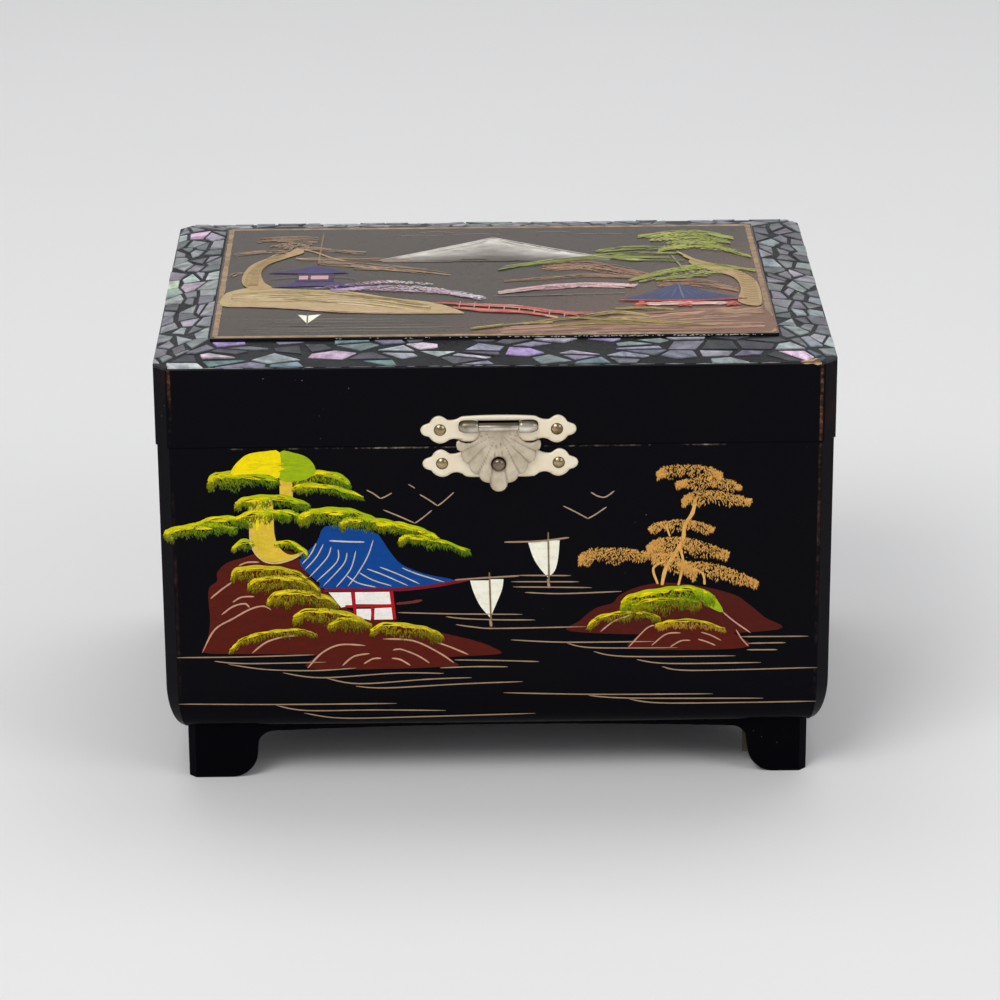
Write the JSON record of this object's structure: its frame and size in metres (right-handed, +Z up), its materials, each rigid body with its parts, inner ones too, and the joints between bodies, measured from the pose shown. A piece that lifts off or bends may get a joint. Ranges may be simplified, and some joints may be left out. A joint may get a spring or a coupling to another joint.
{
  "type": "musical jewellery box",
  "caption": "Black lacquered musical jewellery box on bracket feet, with a shell mosaic border, painted landscapes, a hinged lid with mirror, a hasp latch and a wound comb movement.",
  "frame": {"origin": "on the surface the feet stand on, under the middle of the box", "axes": "+X along the longest side, +Y towards the hinges at the back, +Z up"},
  "size_m": [0.23, 0.1728, 0.1575],
  "materials": {
    "black_lacquer": "high gloss black lacquer on wood",
    "picture_lacquer": "high gloss black lacquer with a painted landscape",
    "shell_chips": "crushed mother of pearl in black lacquer, polished",
    "plain_wood": "unfinished",
    "red_velvet": "short velvet pile",
    "mirror_glass": "silvered",
    "clear_pane": "clear",
    "latch_metal": "pale, lightly tarnished plating",
    "hinge_metal": "satin",
    "movement_brass": "satin",
    "movement_steel": "satin",
    "bedplate_metal": "plated casting",
    "key_metal": "polished"
  },
  "bodies": {
    "box": {"bottom_board": "black_lacquer", "front_wall": "black_lacquer", "back_wall": "black_lacquer", "left_wall": "black_lacquer", "right_wall": "black_lacquer", "base_front": "black_lacquer", "base_back": "black_lacquer", "base_left": "black_lacquer", "base_right": "black_lacquer", "base_corner_blocks": "plain_wood", "wall_linings": "red_velvet", "bay_partition": "red_velvet", "well_divider": "red_velvet", "floor_pads": "red_velvet", "deck_ledges": "plain_wood", "deck_board": "red_velvet", "window_pane": "clear_pane", "ring_rolls": "red_velvet", "ring_rail": "red_velvet", "hinge_lower_leaves": "hinge_metal", "hinge_pins": "movement_steel", "hinge_lower_screws": "hinge_metal", "latch_catch_plate": "latch_metal", "latch_stud": "latch_metal", "latch_lower_nails": "latch_metal", "movement_bedplate": "bedplate_metal", "movement_screws": "movement_steel", "music_comb": "movement_steel", "governor_frame": "movement_brass", "stop_spring": "movement_steel"},
    "lid": {"lid_front_rail": "black_lacquer", "lid_back_rail": "black_lacquer", "lid_left_rail": "black_lacquer", "lid_right_rail": "black_lacquer", "lid_top_board": "black_lacquer", "shell_mosaic": "shell_chips", "picture_panel": "picture_lacquer", "lid_linings": "red_velvet", "mirror_frame": "red_velvet", "lid_mirror": "mirror_glass", "stop_pusher": "plain_wood", "hinge_upper_leaves": "hinge_metal", "hinge_upper_screws": "hinge_metal", "latch_hinge_plate": "latch_metal", "latch_pin": "latch_metal", "latch_upper_nails": "latch_metal"},
    "hasp": {"latch_hasp": "latch_metal"},
    "drum": {"drum_shaft": "movement_steel", "music_drum": "movement_brass", "drum_pins": "movement_steel", "drum_wheel": "movement_brass"},
    "barrel": {"spring_barrel": "movement_brass", "mainspring": "movement_steel"},
    "second_arbor": {"idler_arbor": "movement_steel", "worm_wheel": "movement_brass"},
    "governor": {"governor_worm": "movement_steel", "governor_fan": "movement_brass"},
    "stop": {"stop_rod": "movement_steel"},
    "key": {"spring_arbor": "movement_steel", "winding_key": "key_metal"}
  },
  "joints": [
    {"name": "lid_hinge", "type": "hinge", "parent": "box", "child": "lid", "pos_m": [0, 0.0849, 0.12485], "axis": [-1, 0, 0], "range_deg": [0, 100]},
    {"name": "hasp_hinge", "type": "hinge", "parent": "lid", "child": "hasp", "pos_m": [0.0008, -0.0849, 0.1319], "axis": [-1, 0, 0], "range_deg": [0, 160]},
    {"name": "drum_spin", "type": "hinge", "parent": "box", "child": "drum", "pos_m": [-0.082, 0.038, 0.05195], "axis": [1, 0, 0], "continuous": true},
    {"name": "barrel_spin", "type": "hinge", "parent": "box", "child": "barrel", "pos_m": [-0.058, 0.038, 0.0437], "axis": [0, 0, 1], "continuous": true},
    {"name": "second_arbor_spin", "type": "hinge", "parent": "box", "child": "second_arbor", "pos_m": [-0.0955, 0.0452, 0.04762], "axis": [1, 0, 0], "continuous": true},
    {"name": "governor_spin", "type": "hinge", "parent": "box", "child": "governor", "pos_m": [-0.096, 0.0514, 0.04762], "axis": [0, 0, 1], "continuous": true},
    {"name": "stop_slide", "type": "slide", "parent": "box", "child": "stop", "axis": [0, 0, 1], "range_m": [0, 0.003], "deforming": ["stop_spring"]},
    {"name": "key_turn", "type": "hinge", "parent": "box", "child": "key", "pos_m": [-0.058, 0.038, 0.012], "axis": [0, 0, 1], "continuous": true}
  ],
  "couplings": [
    {"joint": "barrel_spin", "follows": "drum_spin", "ratio": -0.3},
    {"joint": "second_arbor_spin", "follows": "drum_spin", "ratio": -5},
    {"joint": "governor_spin", "follows": "drum_spin", "ratio": 120},
    {"joint": "stop_slide", "follows": "lid_hinge", "m_per_rad": 0.0017}
  ]
}
